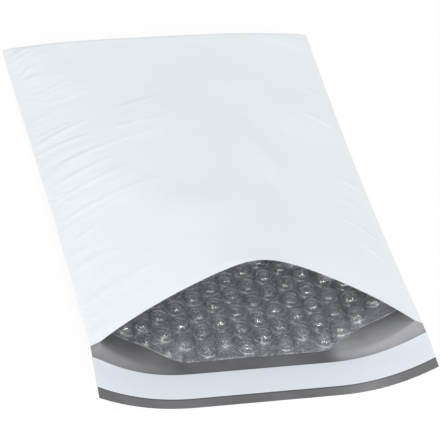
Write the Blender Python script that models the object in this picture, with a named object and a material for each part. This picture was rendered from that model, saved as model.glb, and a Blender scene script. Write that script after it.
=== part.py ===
# Padded envelope: a self-seal mailer of plastic film with a bubble lining, lying on its back
# with its mouth held open. Metres, +Z up. The width runs along X, the mouth and its lip face -Y
# and the bottom fold lies at +Y. The origin is on the table, under the middle of the outline.

import math

import bmesh
import bpy
from mathutils import Vector
from mathutils.geometry import delaunay_2d_cdt

# The flat mailer
FILM_WIDTH = 0.184  # from one side edge to the other
POCKET_LENGTH = 0.278  # from the mouth to the bottom fold
LIP_LENGTH = 0.029  # back panel past the mouth
FILM_THICKNESS = 0.0002
SEAL_WIDTH = 0.005  # welded band along each side

# How it stands open
MOUTH_HEIGHT = 0.054  # table to the crown of the mouth
MOUTH_SETBACK = 0.012  # how far the lifted crown is drawn back
MOUTH_PULL_IN = 0.0095  # how far each side comes in at the mouth
CROWN_ROUNDING = 0.0165  # half width of the rounded top of the crown
LEFT_MOUTH_CORNER = 0.0184  # height of the side edge at the mouth
RIGHT_MOUTH_CORNER = 0.0155
LEFT_LIP_CORNER = 0.012  # height of the lip's own corners
RIGHT_LIP_CORNER = 0.0134
FLAT_HALF_WIDTH = 0.0375  # half of the back panel that lies on the table
SIDE_BOW = 0.0027  # how far the side edges bow in halfway
CREASE_LENGTH = 0.006  # how far the lifted seals pull at the lip
SIDE_EASING = 1.5  # above 1, the sides and the crown rise mostly near the mouth
CROWN_EASING = 1.3
CURL_EASING = 2.2  # above 1, the back panel leaves the table smoothly

# The bottom fold
FOLD_HEIGHT = 0.0082
FOLD_CORNER_HEIGHT = 0.002
FOLD_DEPTH = 0.004  # length of the rounded turn

# The bubble lining
LINING_GAP = 0.00035  # between the lining and the film that carries it
LINING_BASE = 0.0005
LINING_MOUTH_INSET = 0.002  # bare film inside the mouth
LINING_CORNER_SETBACK = 0.0115  # further in towards the lining's corners
SETBACK_START = 0.037  # from the middle of the web to where the edge turns in
SETBACK_END = 0.066  # and to where it has reached the setback of the corners
LINING_SIDE_INSET = 0.005  # bare film inside each side seal
BUBBLE_PITCH = 0.0126
COLUMN_OFFSET = 0.0035  # from the nearest column of bubbles to the middle of the web
BUBBLE_HEIGHT = 0.0048
BUBBLE_TOP_RADIUS = 0.0034
BUBBLE_LEAST_HEIGHT = 0.0008
BUBBLE_CLEARANCE = 0.0005  # between the bubbles of the two panels
BUBBLE_BORDER = 0.0009  # from the outermost bubbles to the lining's edge

# The closure on the lip
LINER_EDGE_INSET = 0.0058  # from the lip's edge to the release liner
LINER_WIDTH = 0.0166
LINER_THICKNESS = 0.00015
ADHESIVE_MARGIN = 0.002  # liner past the adhesive on each side
ADHESIVE_THICKNESS = 0.00015
CLOSURE_GAP = 0.0002  # between film, adhesive and liner

# How finely the sheets are divided
ACROSS = 18
ALONG = 7
COLUMN_EASING = 1.2  # above 1, the columns lie closer in the middle
NORMAL_STEP = 0.0005  # over which a surface's direction is read
SMOOTH_ANGLE = 35  # degrees, up to which an edge is shaded smooth
FOLD_ANGLES = [math.radians(angle) for angle in (-45, 0, 45)]

MOUTH_Y = -(POCKET_LENGTH - LIP_LENGTH) / 2
HALF_WEB = FILM_WIDTH / 2
SEAL_S = 1 - SEAL_WIDTH / HALF_WEB
LINING_S = SEAL_S - LINING_SIDE_INSET / HALF_WEB
FLAT_S = FLAT_HALF_WIDTH / HALF_WEB
FOLD_V = 1 - FOLD_DEPTH / POCKET_LENGTH
COLUMN_SPACING = BUBBLE_PITCH * math.sqrt(3) / 2


def clear_scene():
    for item in list(bpy.data.objects):
        bpy.data.objects.remove(item, do_unlink=True)


def material(name, colour, roughness):
    made = bpy.data.materials.new(name)
    made.use_nodes = True
    shader = made.node_tree.nodes["Principled BSDF"]
    shader.inputs["Base Color"].default_value = (*colour, 1.0)
    shader.inputs["Roughness"].default_value = roughness
    shader.inputs["Metallic"].default_value = 0.0
    return made


# The pocket's two inner surfaces. s runs from -1 to 1 across the web and v from 0 at the mouth
# to 1 at the bottom fold.


def tent(s, rounding):
    # 1 at the middle, 0 at the sides, straight flanks and a rounded top
    side = math.sqrt(rounding**2 + 1)
    return (side - math.sqrt(s * s + rounding**2)) / (side - rounding)


def half_width(v):
    return HALF_WEB - MOUTH_PULL_IN * (1 - v) ** SIDE_EASING - SIDE_BOW * 4 * v * (1 - v)


def side_height(s, v):
    mouth = LEFT_MOUTH_CORNER + (RIGHT_MOUTH_CORNER - LEFT_MOUTH_CORNER) * (s + 1) / 2
    return FOLD_CORNER_HEIGHT + (mouth - FOLD_CORNER_HEIGHT) * (1 - v) ** SIDE_EASING


def crown_rise(v):
    at_mouth = MOUTH_HEIGHT - FILM_THICKNESS - side_height(0, 0)
    at_fold = FOLD_HEIGHT - FILM_THICKNESS - FOLD_CORNER_HEIGHT
    return at_fold + (at_mouth - at_fold) * (1 - v) ** CROWN_EASING


def upper(s, v):
    # inner surface of the front panel, and the middle of the side seals
    rounding = CROWN_ROUNDING / half_width(0)
    peak = tent(s, rounding + v)
    shape = peak + (1 - s**4 - peak) * v * v
    drawn_back = MOUTH_SETBACK * (1 - v) ** 2 * tent(min(1, abs(s) / SEAL_S), rounding)
    y = MOUTH_Y + v * POCKET_LENGTH + drawn_back
    return Vector((s * half_width(v), y, side_height(s, v) + crown_rise(v) * shape))


def lower(s, v):
    # inner surface of the back panel, which meets the front panel at the side seals
    if abs(s) >= SEAL_S:
        return upper(s, v)
    join = upper(math.copysign(SEAL_S, s), v).z
    share = max(0, (abs(s) - FLAT_S) / (SEAL_S - FLAT_S)) ** CURL_EASING
    z = FILM_THICKNESS + (join - FILM_THICKNESS) * share
    return Vector((s * half_width(v), MOUTH_Y + v * POCKET_LENGTH, z))


def lip(s, out):
    # top of the lip, at a distance out from the mouth
    share = out / LIP_LENGTH
    curl = max(0, (abs(s) - FLAT_S) / (1 - FLAT_S)) ** CURL_EASING
    mouth_corner = side_height(math.copysign(1, s), 0)
    lip_corner = LEFT_LIP_CORNER if s < 0 else RIGHT_LIP_CORNER
    z = FILM_THICKNESS + (mouth_corner * (1 - share) + lip_corner * share) * curl
    pulled_up = lower(s, 0).z - FILM_THICKNESS - mouth_corner * curl
    z += pulled_up * max(0, 1 - out / CREASE_LENGTH) ** 2
    return Vector((s * half_width(0), MOUTH_Y - out, z))


def fold(s, angle, inset):
    # a point round the bottom fold, inset into the pocket from its inner surface
    low = lower(s, FOLD_V).z + inset
    high = upper(s, FOLD_V).z - inset
    reach = FOLD_DEPTH - FILM_THICKNESS - inset
    y = MOUTH_Y + FOLD_V * POCKET_LENGTH + reach * math.cos(angle)
    return Vector((s * half_width(FOLD_V), y, (low + high) / 2 + (high - low) / 2 * math.sin(angle)))


def raised(point, height):
    return point + Vector((0, 0, height))


def smooth(share):
    # from 0 to 1, leaving and arriving level
    return share * share * (3 - 2 * share)


# Columns and rows that every sheet shares, so that they lie parallel


def lined_columns():
    # closer together in the middle, where the crown bends most
    steps = [2 * i / ACROSS - 1 for i in range(ACROSS + 1)]
    return [LINING_S * math.copysign(abs(step) ** COLUMN_EASING, step) for step in steps]


def pocket_columns():
    return [-SEAL_S] + lined_columns() + [SEAL_S]


def web_columns():
    return [-1.0] + pocket_columns() + [1.0]


def lined_row(step, s):
    # v along the lining: step 0 is its edge in the mouth, and the last step starts the fold
    turned = (abs(s) * HALF_WEB - SETBACK_START) / (SETBACK_END - SETBACK_START)
    turned = min(1, max(0, turned))
    start = (LINING_MOUTH_INSET + LINING_CORNER_SETBACK * smooth(turned)) / POCKET_LENGTH
    return start + (FOLD_V - start) * step / ALONG


def liner_rows():
    near = LIP_LENGTH - LINER_EDGE_INSET
    far = near - LINER_WIDTH
    return [near, near - ADHESIVE_MARGIN, far + ADHESIVE_MARGIN, far]


def lip_rows():
    crease = min(CREASE_LENGTH, liner_rows()[-1]) / 2
    return [LIP_LENGTH] + liner_rows() + [crease]


def new_row(mesh, points):
    return [mesh.verts.new(point) for point in points]


def sheet_rows(mesh, surface, across, height, steps):
    return [new_row(mesh, [raised(surface(s, lined_row(step, s)), height) for s in across]) for step in steps]


def fold_rows(mesh, across, inset):
    return [new_row(mesh, [fold(s, angle, inset) for s in across]) for angle in FOLD_ANGLES]


def add_face(mesh, corners, slot=0):
    # leaves out corners that two rows share
    kept = [corner for i, corner in enumerate(corners) if corner is not corners[i - 1]]
    if len(kept) > 2:
        mesh.faces.new(kept).material_index = slot


def bridge(mesh, first, second, slot=0):
    for i in range(len(first) - 1):
        add_face(mesh, (first[i], first[i + 1], second[i + 1]), slot)
        add_face(mesh, (first[i], second[i + 1], second[i]), slot)


def bridge_all(mesh, rows, slot=0):
    for first, second in zip(rows, rows[1:]):
        bridge(mesh, first, second, slot)


def finish_object(name, mesh, materials):
    bmesh.ops.triangulate(mesh, faces=[face for face in mesh.faces if len(face.verts) > 3])
    bmesh.ops.recalc_face_normals(mesh, faces=mesh.faces)
    data = bpy.data.meshes.new(name)
    mesh.to_mesh(data)
    mesh.free()
    for made in materials:
        data.materials.append(made)
    data.shade_smooth()
    data.set_sharp_from_angle(angle=math.radians(SMOOTH_ANGLE))
    item = bpy.data.objects.new(name, data)
    bpy.context.scene.collection.objects.link(item)
    return item


def make_outer_film():
    # one folded web: lip, back panel, bottom fold and front panel, welded along both sides
    mesh = bmesh.new()
    across = web_columns()
    inside = pocket_columns()
    steps = range(ALONG + 1)

    under_lip = [new_row(mesh, [raised(lip(s, out), -FILM_THICKNESS) for s in across]) for out in lip_rows()]
    under = [new_row(mesh, [raised(lower(s, 0), -FILM_THICKNESS) for s in across])]
    under += sheet_rows(mesh, lower, across, -FILM_THICKNESS, steps)
    turn = fold_rows(mesh, across, -FILM_THICKNESS)
    over = [new_row(mesh, [raised(upper(s, 0), FILM_THICKNESS) for s in across])]
    over += sheet_rows(mesh, upper, across, FILM_THICKNESS, steps)
    bridge_all(mesh, under_lip + under + turn + over[::-1])

    lip_top = [new_row(mesh, [lip(s, out) for s in across]) for out in lip_rows() + [0]]
    floor = [lip_top[-1][1:-1]] + sheet_rows(mesh, lower, inside, 0, steps)
    inner_turn = fold_rows(mesh, inside[1:-1], 0)
    roof = [new_row(mesh, [upper(s, 0) for s in inside[1:-1]])]
    roof += sheet_rows(mesh, upper, inside[1:-1], 0, steps)
    inner_turn = [[floor[-1][0]] + row + [floor[-1][-1]] for row in inner_turn]
    roof = [[below[0]] + row + [below[-1]] for row, below in zip(roof, floor)]
    bridge_all(mesh, lip_top, slot=1)
    bridge_all(mesh, floor + inner_turn + roof[::-1], slot=1)

    rim = [lip_top[-1][0]] + roof[0] + [lip_top[-1][-1]]
    bridge(mesh, over[0], rim)
    bridge(mesh, under_lip[0], lip_top[0])
    for side in (0, -1):
        lower_edge = [row[side] for row in under_lip + under[:1]]
        upper_edge = [row[side] for row in lip_top]
        bridge(mesh, lower_edge, upper_edge)
        add_face(mesh, (under[0][side], under[1][side], over[1][side], over[0][side], lip_top[-1][side]))
        bridge(mesh, [row[side] for row in under[1:]], [row[side] for row in over[1:]])
        add_face(mesh, [under[-1][side]] + [row[side] for row in turn] + [over[-1][side]])
    outside = material("film_white", (0.83, 0.86, 0.88), 0.4)
    inner = material("film_grey", (0.14, 0.14, 0.145), 0.45)
    return finish_object("outer_film", mesh, [outside, inner])


def make_strip(name, outs, bottom_height, thickness, colour, roughness):
    # a thin band across the lip, lying along rows at the distances outs from the mouth
    mesh = bmesh.new()
    across = web_columns()
    bottom = [new_row(mesh, [raised(lip(s, out), bottom_height) for s in across]) for out in outs]
    top = [new_row(mesh, [raised(lip(s, out), bottom_height + thickness) for s in across]) for out in outs]
    bridge_all(mesh, bottom)
    bridge_all(mesh, top)
    bridge(mesh, bottom[0], top[0])
    bridge(mesh, bottom[-1], top[-1])
    for side in (0, -1):
        bridge(mesh, [row[side] for row in bottom], [row[side] for row in top])
    return finish_object(name, mesh, [material(name, colour, roughness)])


def make_adhesive_strip():
    return make_strip(
        "adhesive_strip", liner_rows()[1:3], CLOSURE_GAP, ADHESIVE_THICKNESS, (0.75, 0.72, 0.62), 0.3
    )


def make_release_liner():
    height = CLOSURE_GAP + ADHESIVE_THICKNESS + CLOSURE_GAP
    return make_strip("release_liner", liner_rows(), height, LINER_THICKNESS, (0.7, 0.74, 0.8), 0.35)


def bubble_places():
    # staggered columns of bubbles in the flat web: x and y in metres from the middle and the
    # mouth, then the column's number and the count of half pitches from the first bubble
    border = BUBBLE_PITCH / 2 + BUBBLE_BORDER
    reach = LINING_S * HALF_WEB - border
    start = lined_row(0, 0) * POCKET_LENGTH + border
    half_pitches = int((FOLD_V * POCKET_LENGTH - border - start) / (BUBBLE_PITCH / 2))
    columns = int(reach / COLUMN_SPACING) + 1
    places = []
    for column in range(-columns, columns + 1):
        x = column * COLUMN_SPACING - COLUMN_OFFSET
        if abs(x) > reach:
            continue
        outer_s = (abs(x) + border) / HALF_WEB
        first = lined_row(0, outer_s) * POCKET_LENGTH + border
        for step in range(column % 2, half_pitches + 1, 2):
            y = start + step * BUBBLE_PITCH / 2
            if y >= first:
                places.append((x, y, column, step))
    return places


def bubble_room(x, y):
    # height that a bubble can have before it meets the one across the pocket
    room = BUBBLE_HEIGHT
    for dx, dy in ((0, 0), (0.5, 0), (-0.5, 0), (0, 0.5), (0, -0.5)):
        s = (x + dx * BUBBLE_PITCH) / HALF_WEB
        v = min(FOLD_V, (y + dy * BUBBLE_PITCH) / POCKET_LENGTH)
        between = upper(s, v).z - lower(s, v).z - 2 * (LINING_GAP + LINING_BASE)
        room = min(room, (between - BUBBLE_CLEARANCE) / 2)
    return room


def base_point(surface, side, x, y):
    # a point of the lining's flat base; side is 1 on the back panel and -1 on the front panel
    point = surface(x / HALF_WEB, y / POCKET_LENGTH)
    return raised(point, side * (LINING_GAP + LINING_BASE))


def inward_normal(surface, side, x, y):
    step = NORMAL_STEP
    along_x = base_point(surface, side, x + step, y) - base_point(surface, side, x - step, y)
    along_y = base_point(surface, side, x, y + step) - base_point(surface, side, x, y - step)
    return along_x.cross(along_y).normalized() * side


def add_dome(mesh, surface, side, centre, ring):
    x, y = centre
    height = bubble_room(x, y)
    lift = inward_normal(surface, side, x, y) * height
    top = []
    for turn in (30, 150, 270):
        angle = math.radians(turn)
        across = x + BUBBLE_TOP_RADIUS * math.cos(angle)
        along = y + BUBBLE_TOP_RADIUS * math.sin(angle)
        top.append(mesh.verts.new(base_point(surface, side, across, along) + lift))
    for i in range(3):
        near, between, far = ring[2 * i], ring[2 * i + 1], ring[(2 * i + 2) % 6]
        mesh.faces.new((near, between, top[i]))
        mesh.faces.new((between, top[(i + 1) % 3], top[i]))
        mesh.faces.new((between, far, top[(i + 1) % 3]))
    mesh.faces.new(top)


def add_bubble_panel(mesh, surface, side, rows):
    # fills a panel inside its border rows with bubbles and the base film between them
    # a dome's corners on the base film, in half columns across and quarter pitches along
    hexagon = ((1, 1), (0, 2), (-1, 1), (-1, -1), (0, -2), (1, -1))
    in_millimetres = 1000.0
    columns = lined_columns()
    count = len(columns)
    around = [(columns[i], 0, rows[0][i]) for i in range(count - 1)]
    around += [(columns[-1], step, rows[step][-1]) for step in range(ALONG)]
    around += [(columns[i], ALONG, rows[-1][i]) for i in range(count - 1, 0, -1)]
    around += [(columns[0], step, rows[step][0]) for step in range(ALONG, 0, -1)]
    border = [(s * HALF_WEB, lined_row(step, s) * POCKET_LENGTH, vert) for s, step, vert in around]

    flat = [Vector((x, y)) * in_millimetres for x, y, vert in border]
    verts = [vert for x, y, vert in border]
    edges = [(i, (i + 1) % len(border)) for i in range(len(border))]
    found = {}
    domes = []
    for x, y, column, step in bubble_places():
        if bubble_room(x, y) < BUBBLE_LEAST_HEIGHT:
            continue
        ring = []
        for over, up in hexagon:
            corner_x = x + over * COLUMN_SPACING / 2
            corner_y = y + up * BUBBLE_PITCH / 4
            key = (2 * column + over, 2 * step + up)
            if key not in found:
                found[key] = len(verts)
                flat.append(Vector((corner_x, corner_y)) * in_millimetres)
                verts.append(mesh.verts.new(base_point(surface, side, corner_x, corner_y)))
            ring.append(found[key])
        edges += [(ring[i], ring[(i + 1) % 6]) for i in range(6)]
        domes.append(((x, y), ring))

    result = delaunay_2d_cdt(flat, edges, [], 1, 1e-6)
    faces, sources = result[2], result[3]
    rings = [set(ring) for centre, ring in domes]
    owners = {}
    for index, ring in enumerate(rings):
        for corner in ring:
            owners.setdefault(corner, set()).add(index)
    for face in faces:
        corners = [sources[corner][0] for corner in face]
        shared = set.intersection(*[owners.get(corner, set()) for corner in corners])
        if not shared:
            mesh.faces.new([verts[corner] for corner in corners])
    for centre, ring in domes:
        add_dome(mesh, surface, side, centre, [verts[corner] for corner in ring])


def border_rows(mesh, surface, height):
    # the border of a panel: its first and last rows, and the ends of the rows between
    across = lined_columns()
    ends = [across[0], across[-1]]
    first = sheet_rows(mesh, surface, across, height, [0])
    last = sheet_rows(mesh, surface, across, height, [ALONG])
    return first + sheet_rows(mesh, surface, ends, height, range(1, ALONG)) + last


def make_bubble_lining():
    # one folded web of bubble film: back panel, bottom fold and front panel
    mesh = bmesh.new()
    across = lined_columns()
    deep = LINING_GAP + LINING_BASE
    back_floor = sheet_rows(mesh, lower, across, LINING_GAP, range(ALONG + 1))
    back_turn = fold_rows(mesh, across, LINING_GAP)
    back_roof = sheet_rows(mesh, upper, across, -LINING_GAP, range(ALONG + 1))
    floor = border_rows(mesh, lower, deep)
    turn = fold_rows(mesh, across, deep)
    roof = border_rows(mesh, upper, -deep)

    bridge_all(mesh, back_floor + back_turn + back_roof[::-1])
    bridge_all(mesh, [floor[-1]] + turn + [roof[-1]])
    add_bubble_panel(mesh, lower, 1, floor)
    add_bubble_panel(mesh, upper, -1, roof)
    bridge(mesh, back_floor[0], floor[0])
    bridge(mesh, back_roof[0], roof[0])
    for side in (0, -1):
        outer_edge = [row[side] for row in back_floor + back_turn + back_roof[::-1]]
        inner_edge = [row[side] for row in floor + turn + roof[::-1]]
        bridge(mesh, outer_edge, inner_edge)
    return finish_object("bubble_lining", mesh, [material("bubble_film", (0.3, 0.3, 0.31), 0.2)])


def main():
    clear_scene()
    make_outer_film()
    make_bubble_lining()
    make_adhesive_strip()
    make_release_liner()


main()
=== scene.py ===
import math
import random

import bmesh
import bpy
from mathutils import Matrix, Vector, noise
from mathutils.geometry import delaunay_2d_cdt


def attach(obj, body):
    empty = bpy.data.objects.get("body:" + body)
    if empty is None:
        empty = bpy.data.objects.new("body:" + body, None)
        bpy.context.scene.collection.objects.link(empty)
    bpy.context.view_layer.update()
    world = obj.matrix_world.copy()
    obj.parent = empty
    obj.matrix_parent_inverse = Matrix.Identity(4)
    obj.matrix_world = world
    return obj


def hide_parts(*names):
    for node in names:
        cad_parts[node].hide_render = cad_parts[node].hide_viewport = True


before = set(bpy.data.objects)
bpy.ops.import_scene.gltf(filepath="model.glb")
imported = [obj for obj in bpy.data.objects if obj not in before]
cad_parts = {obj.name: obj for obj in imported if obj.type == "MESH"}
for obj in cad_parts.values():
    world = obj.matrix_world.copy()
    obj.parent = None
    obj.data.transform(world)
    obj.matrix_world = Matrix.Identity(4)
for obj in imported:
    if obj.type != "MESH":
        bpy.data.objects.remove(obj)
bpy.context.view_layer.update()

# A poly bubble mailer on its back with its mouth open: white film with a grey inside, a clear
# bubble lining, and a pale release liner on the lip. Metres, in the frame of the solids.

# The mailer's form, as in the solids. s runs from -1 to 1 across the web, v from 0 at the mouth
# to 1 at the bottom fold.
mailer = {
    "width": 0.184,
    "pocketLength": 0.278,
    "lipLength": 0.029,
    "film": 0.0002,
    "sealWidth": 0.005,
    "mouthHeight": 0.054,
    "mouthSetback": 0.012,  # of the mouth's crown from its corners
    "mouthPullIn": 0.0095,  # of each side, where the mouth stands open
    "crownRounding": 0.0165,
    "flankRise": 0.0014,
    "flankSetback": 0.0012,
    "leftMouthCorner": 0.0184,  # the corners' heights over the table
    "rightMouthCorner": 0.0155,
    "leftLipCorner": 0.012,
    "rightLipCorner": 0.0134,
    "flatHalfWidth": 0.0375,  # of the part of the back panel that lies on the table
    "sideBow": 0.0027,
    "creaseLength": 0.0078,
    "sideEasing": 1.5,
    "crownEasing": 1.3,
    "curlEasing": 2.2,
    "foldHeight": 0.0082,
    "foldCornerHeight": 0.002,
    "foldDepth": 0.004,
}

halfWeb = mailer["width"] / 2
pocket = mailer["pocketLength"]
film = mailer["film"]
mouthY = -(pocket - mailer["lipLength"]) / 2
sealS = 1 - mailer["sealWidth"] / halfWeb
flatS = mailer["flatHalfWidth"] / halfWeb
foldV = 1 - mailer["foldDepth"] / pocket


def smooth(share):
    share = min(1, max(0, share))
    return share * share * (3 - 2 * share)


def hill(given, middle, width):
    # 1 at the middle, falling away on both sides
    return math.exp(-(((given - middle) / width) ** 2))


def tent(s, rounding):
    # 1 in the middle, 0 at the sides, straight flanks and a rounded top
    side = math.sqrt(rounding**2 + 1)
    return (side - math.sqrt(s * s + rounding**2)) / (side - rounding)


def halfWidth(v):
    pulledIn = mailer["mouthPullIn"] * (1 - v) ** mailer["sideEasing"]
    return halfWeb - pulledIn - mailer["sideBow"] * 4 * v * (1 - v)


def sideHeight(s, v):
    left, right = mailer["leftMouthCorner"], mailer["rightMouthCorner"]
    mouth = left + (right - left) * (s + 1) / 2
    low = mailer["foldCornerHeight"]
    return low + (mouth - low) * (1 - v) ** mailer["sideEasing"]


def crownRise(v):
    atMouth = mailer["mouthHeight"] - film - sideHeight(0, 0)
    atFold = mailer["foldHeight"] - film - mailer["foldCornerHeight"]
    return atFold + (atMouth - atFold) * (1 - v) ** mailer["crownEasing"]


crownRounding = mailer["crownRounding"] / halfWidth(0)


def flankBow(s, v):
    # the front panel's flanks bow up and back a little at the mouth: 1 at two thirds of the way
    # to each seal, 0 in the middle and at the seals
    side = min(1, abs(s) / sealS)
    return 27 / 4 * side * side * (1 - side) * (1 - v) ** 2


def upper(s, v):
    # inner surface of the front panel, and the middle of the side seals
    peak = tent(s, crownRounding + v)
    shape = peak + (1 - s**4 - peak) * v * v
    mouthLine = tent(min(1, abs(s) / sealS), crownRounding)
    drawnBack = mailer["mouthSetback"] * (1 - v) ** 2 * mouthLine
    bow = flankBow(s, v)
    y = mouthY + v * pocket + drawnBack + mailer["flankSetback"] * bow
    z = sideHeight(s, v) + crownRise(v) * shape + mailer["flankRise"] * bow
    return Vector((s * halfWidth(v), y, z))


def lower(s, v):
    # inner surface of the back panel
    if abs(s) >= sealS:
        return upper(s, v)
    join = upper(math.copysign(sealS, s), v).z
    share = max(0, (abs(s) - flatS) / (sealS - flatS)) ** mailer["curlEasing"]
    return Vector((s * halfWidth(v), mouthY + v * pocket, film + (join - film) * share))


def lip(s, out):
    # top of the lip, at a distance out from the mouth
    share = out / mailer["lipLength"]
    curl = max(0, (abs(s) - flatS) / (1 - flatS)) ** mailer["curlEasing"]
    mouthCorner = sideHeight(math.copysign(1, s), 0)
    lipCorner = mailer["leftLipCorner"] if s < 0 else mailer["rightLipCorner"]
    z = film + (mouthCorner * (1 - share) + lipCorner * share) * curl
    pulledUp = lower(s, 0).z - film - mouthCorner * curl
    z += pulledUp * (1 - smooth(out / mailer["creaseLength"]))
    return Vector((s * halfWidth(0), mouthY - out, z))


def fold(s, angle, inset):
    # round the bottom fold, inset into the pocket from its inner surface
    low = lower(s, foldV).z + inset
    high = upper(s, foldV).z - inset
    reach = mailer["foldDepth"] - film - inset
    y = mouthY + foldV * pocket + reach * math.cos(angle)
    z = (low + high) / 2 + (high - low) / 2 * math.sin(angle)
    return Vector((s * halfWidth(foldV), y, z))


def raised(point, height):
    return point + Vector((0, 0, height))


# Shader building


class Value:
    # a node's output, so that shader maths reads as plain expressions

    def __init__(self, nodes, socket):
        self.nodes = nodes
        self.socket = socket

    def __add__(self, other):
        return self.nodes.maths("ADD", self, other)

    def __radd__(self, other):
        return self.nodes.maths("ADD", other, self)

    def __sub__(self, other):
        return self.nodes.maths("SUBTRACT", self, other)

    def __rsub__(self, other):
        return self.nodes.maths("SUBTRACT", other, self)

    def __mul__(self, other):
        return self.nodes.maths("MULTIPLY", self, other)

    def __rmul__(self, other):
        return self.nodes.maths("MULTIPLY", other, self)

    def __truediv__(self, other):
        return self.nodes.maths("DIVIDE", self, other)

    def __pow__(self, other):
        return self.nodes.maths("POWER", self, other)


class Nodes:
    # a node tree of a material or of the world

    def __init__(self, tree):
        self.tree = tree

    def feed(self, socket, given):
        if isinstance(given, Value):
            self.tree.links.new(given.socket, socket)
        else:
            socket.default_value = given

    def node(self, kind, settings, inputs, output=0):
        made = self.tree.nodes.new(kind)
        for name, given in settings.items():
            setattr(made, name, given)
        for name, given in inputs.items():
            self.feed(made.inputs[name], given)
        return Value(self, made.outputs[output])

    def maths(self, operation, *given):
        return self.node("ShaderNodeMath", {"operation": operation}, dict(enumerate(given)))

    def seenDirectly(self):
        # 1 for what the camera sees, straight or in gloss and glass
        names = ("Is Camera Ray", "Is Glossy Ray", "Is Transmission Ray")
        straight, glossy, through = [
            self.node("ShaderNodeLightPath", {}, {}, name) for name in names
        ]
        return straight + glossy + through

    def mixShaders(self, factor, first, second):
        return self.node("ShaderNodeMixShader", {}, {0: factor, 1: first, 2: second})


class Look(Nodes):
    # a material and the nodes that feed its shader

    def __init__(self, name, plain):
        self.material = bpy.data.materials.new(name)
        self.material.use_nodes = True
        super().__init__(self.material.node_tree)
        self.shader = self.tree.nodes["Principled BSDF"]
        self.output = self.tree.nodes["Material Output"]
        self.set(plain)

    def set(self, values):
        for name, given in values.items():
            self.feed(self.shader.inputs[name], given)

    def place(self):
        return self.node("ShaderNodeTexCoord", {}, {}, "Object")

    def coordinate(self, where, axis):
        return self.node("ShaderNodeSeparateXYZ", {}, {"Vector": where}, axis)

    def noise(self, where, scale, detail=2, roughness=0.5, distortion=0.0):
        inputs = {"Vector": where, "Scale": scale, "Detail": detail, "Roughness": roughness}
        return self.node("ShaderNodeTexNoise", {}, {**inputs, "Distortion": distortion})

    def drawnOut(self, where, degrees, sizes):
        # the place turned about Z and scaled, so that a noise on it runs in streaks
        inputs = {"Vector": where, "Rotation": (0, 0, math.radians(degrees)), "Scale": sizes}
        return self.node("ShaderNodeMapping", {}, inputs)

    def between(self, low, high, given):
        # 0 below low, 1 above high and smooth between
        inputs = {"Value": given, "From Min": low, "From Max": high}
        return self.node("ShaderNodeMapRange", {"interpolation_type": "SMOOTHSTEP"}, inputs)

    def mix(self, factor, first, second):
        # 6, 7 and 2 are the colour sockets, whose names other sockets share
        inputs = {0: factor, 6: first, 7: second}
        return self.node("ShaderNodeMix", {"data_type": "RGBA"}, inputs, 2)

    def measured(self, name):
        # a number that the mesh carries at each of its points
        return self.node("ShaderNodeAttribute", {"attribute_name": name}, {}, "Fac")

    def bump(self, height, distance, strength):
        inputs = {"Height": height, "Distance": distance, "Strength": strength}
        return self.node("ShaderNodeBump", {}, inputs)


# Mesh building

smoothAngle = math.radians(40)


def newRow(mesh, points):
    return [mesh.verts.new(point) for point in points]


def addFace(mesh, corners, slot=0):
    # leaves out corners that two rows share
    kept = [corner for i, corner in enumerate(corners) if corner is not corners[i - 1]]
    if len(kept) > 2:
        mesh.faces.new(kept).material_index = slot


def bridge(mesh, first, second, slot=0):
    for i in range(len(first) - 1):
        addFace(mesh, (first[i], first[i + 1], second[i + 1], second[i]), slot)


def bridgeAll(mesh, rows, slot=0):
    for first, second in zip(rows, rows[1:]):
        bridge(mesh, first, second, slot)


def finishPiece(name, mesh, looks, node):
    bmesh.ops.recalc_face_normals(mesh, faces=mesh.faces)
    bmesh.ops.triangulate(mesh, faces=[face for face in mesh.faces if len(face.verts) > 3])
    data = bpy.data.meshes.new(name)
    mesh.to_mesh(data)
    mesh.free()
    for look in looks:
        data.materials.append(look.material)
    data.shade_smooth()
    data.set_sharp_from_angle(angle=smoothAngle)
    piece = bpy.data.objects.new(name, data)
    bpy.context.scene.collection.objects.link(piece)
    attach(piece, "root")
    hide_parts(node)
    print(name, "has", len(data.polygons), "triangles")
    return piece


# Creases in the front panel. Each fan springs from a side seal, -1 on the left and 1 on the
# right, and runs inwards, towards the bottom fold, with its creases fading out. Starts are shares
# of the pocket's length, and turns are degrees from straight across.
creaseFans = [
    {
        "side": -1,
        "starts": (0.29, 0.34, 0.365, 0.42, 0.435, 0.485, 0.53, 0.545, 0.60),
        "turn": 15,
        "reach": 0.1,
        "height": 0.00028,
    },
    {
        "side": -1,
        "starts": (0.635, 0.655, 0.71, 0.725, 0.775, 0.79, 0.845),
        "turn": 20,
        "reach": 0.075,
        "height": 0.00034,
    },
    {
        "side": -1,
        "starts": (0.86, 0.885, 0.91, 0.935, 0.955, 0.975),
        "turn": 33,
        "reach": 0.038,
        "height": 0.0005,
    },
    {
        "side": -1,
        "starts": (0.03, 0.07, 0.11, 0.16, 0.21, 0.26),
        "turn": 8,
        "reach": 0.035,
        "height": 0.00022,
    },
    {
        "side": 1,
        "starts": (0.10, 0.17, 0.24, 0.33, 0.42, 0.50, 0.57),
        "turn": 18,
        "reach": 0.045,
        "height": 0.00028,
    },
    {
        "side": 1,
        "starts": (0.63, 0.69, 0.75, 0.81, 0.87, 0.93),
        "turn": 27,
        "reach": 0.04,
        "height": 0.00024,
    },
]

# How the creases of a fan vary, and the shape of each: a ridge with a hollow beside it
creasing = {
    "seed": 7,
    "turnSpread": 6,
    "inset": 0.002,
    "insetSpread": 0.006,
    "startSpread": 0.006,
    "reaches": (0.4, 1.35),
    "heights": (0.3, 1.2),
    "width": 0.0017,
    "widths": (0.6, 1.9),
    "bend": 0.008,
    # along a crease, in shares of its reach, and a power
    "leadIn": 0.08,
    "risesOver": 0.2,
    "fadePower": 1.2,
    # across it, in widths, and a share of its height
    "halfBreadth": 3.2,
    "hollowAt": 1.5,
    "hollowDepth": 0.5,
}


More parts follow.
